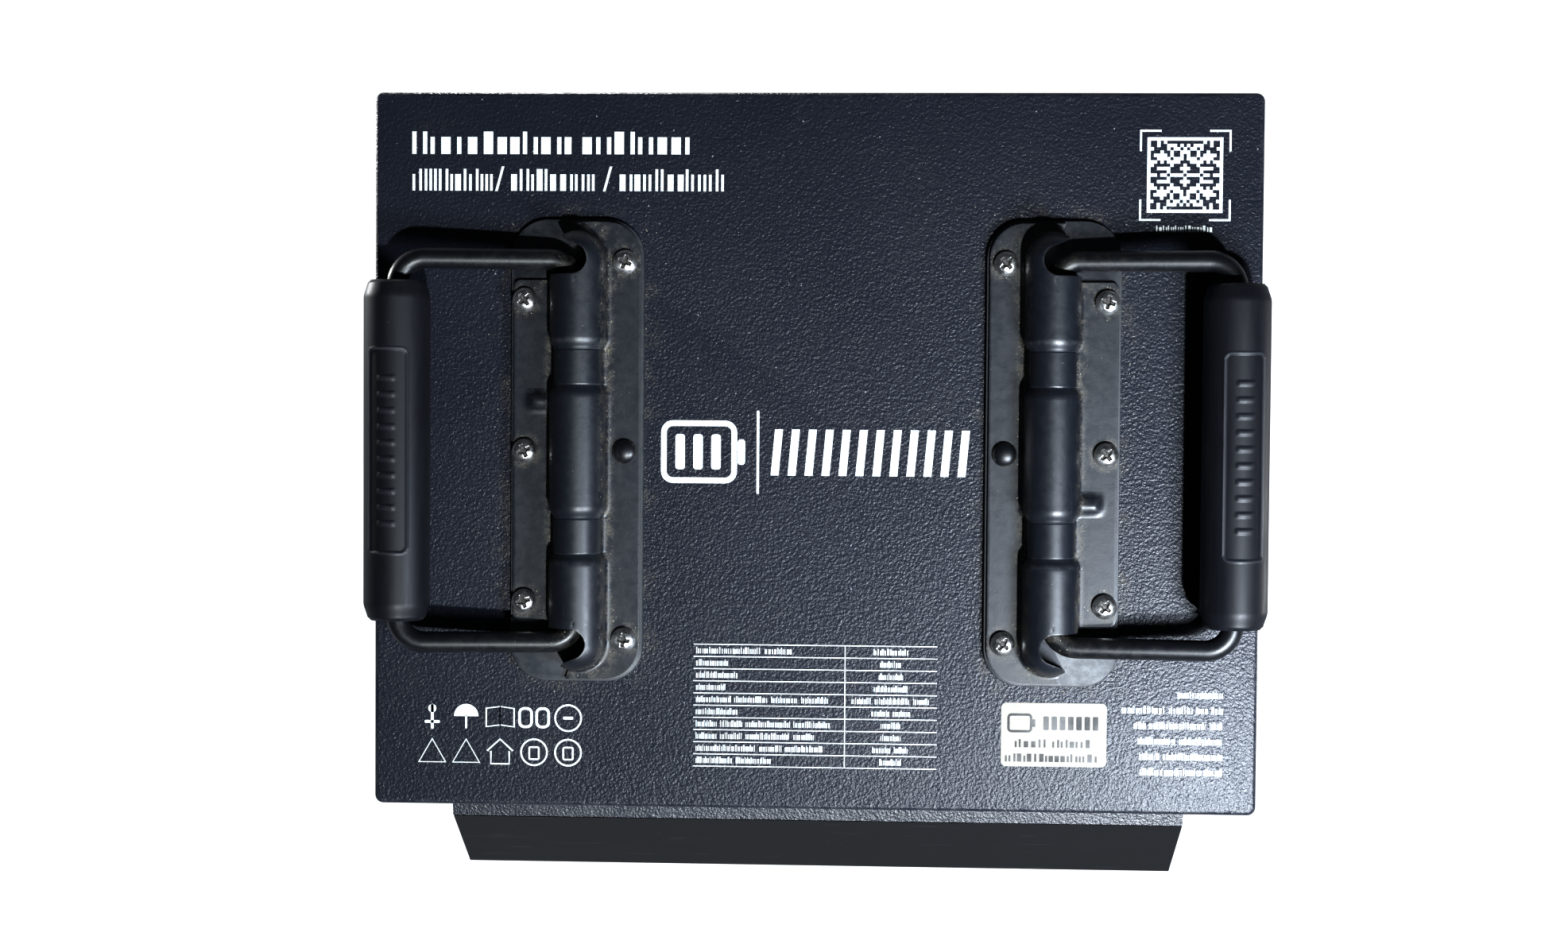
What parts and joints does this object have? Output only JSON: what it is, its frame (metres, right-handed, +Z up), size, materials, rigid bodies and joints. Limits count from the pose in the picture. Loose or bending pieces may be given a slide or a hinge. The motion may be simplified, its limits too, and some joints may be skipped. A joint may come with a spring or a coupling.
{
  "type": "battery pack",
  "caption": "Rechargeable battery pack in a black steel case, with two sprung folding carrying handles on its lid and a socket console low on its front.",
  "frame": {"origin": "middle of the pack's outline, on the surface it stands on", "axes": "+X to the pack's right, +Y to its back, +Z up out of the lid; the socket console faces -Y"},
  "size_m": [0.276, 0.2594, 0.2495],
  "materials": {
    "powder_coat": "fine-textured black powder coat on sheet steel, matt",
    "black_steel": "satin black electrocoat on pressed steel",
    "grip_rubber": "satin black rubber",
    "zinc": "bright zinc plate",
    "spring_steel": "oiled spring wire",
    "fascia_plastic": "smooth satin black moulding",
    "socket_plastic": "grey moulding",
    "copper": "bare copper bar",
    "cell_wrap": "aluminium can in blue film",
    "heat_sink": "extruded, plain",
    "board": "green solder mask",
    "insulation": "epoxy glass sheet",
    "foam": "closed-cell foam",
    "fuse_body": "glazed",
    "lens": "smoked, clear"
  },
  "bodies": {
    "pack": {"case_body": "powder_coat", "lid": "powder_coat", "console_hood": "powder_coat", "console_fascia": "fascia_plastic", "power_socket": "socket_plastic", "contact_positive": "copper", "contact_negative": "copper", "data_socket": "zinc", "status_lens": "lens", "lid_screw_1": "zinc", "lid_screw_2": "zinc", "lid_screw_3": "zinc", "lid_screw_4": "zinc", "base_plate_left": "black_steel", "cover_left": "black_steel", "nut_plate_left": "zinc", "handle_screw_left_1": "zinc", "handle_screw_left_2": "zinc", "handle_screw_left_3": "zinc", "handle_screw_left_4": "zinc", "handle_screw_left_5": "zinc", "rivet_left": "black_steel", "spring_left": "spring_steel", "base_plate_right": "black_steel", "cover_right": "black_steel", "nut_plate_right": "zinc", "handle_screw_right_1": "zinc", "handle_screw_right_2": "zinc", "handle_screw_right_3": "zinc", "handle_screw_right_4": "zinc", "handle_screw_right_5": "zinc", "rivet_right": "black_steel", "spring_right": "spring_steel", "cell_1": "cell_wrap", "cell_2": "cell_wrap", "cell_3": "cell_wrap", "cell_4": "cell_wrap", "cell_5": "cell_wrap", "cell_6": "cell_wrap", "cell_7": "cell_wrap", "cell_8": "cell_wrap", "busbar_1": "copper", "busbar_2": "copper", "busbar_3": "copper", "busbar_4": "copper", "busbar_5": "copper", "busbar_6": "copper", "busbar_7": "copper", "link_negative": "copper", "link_positive": "copper", "bms_board": "board", "bms_heatsink": "heat_sink", "main_fuse": "fuse_body", "top_insulator": "insulation", "base_pad": "foam"},
    "handle_left": {"bail_left": "black_steel", "grip_left": "grip_rubber"},
    "handle_right": {"bail_right": "black_steel", "grip_right": "grip_rubber"}
  },
  "joints": [
    {"name": "handle_left_fold", "type": "hinge", "parent": "pack", "child": "handle_left", "pos_m": [-0.073, 0.018, 0.2334], "axis": [0, 1, 0], "range_deg": [0, 84], "stiffness_Nm_per_rad": 0.12, "springref_deg": -34.38, "deforming": ["spring_left"]},
    {"name": "handle_right_fold", "type": "hinge", "parent": "pack", "child": "handle_right", "pos_m": [0.073, 0.018, 0.2334], "axis": [0, -1, 0], "range_deg": [0, 84], "stiffness_Nm_per_rad": 0.12, "springref_deg": -34.38, "deforming": ["spring_right"]}
  ]
}
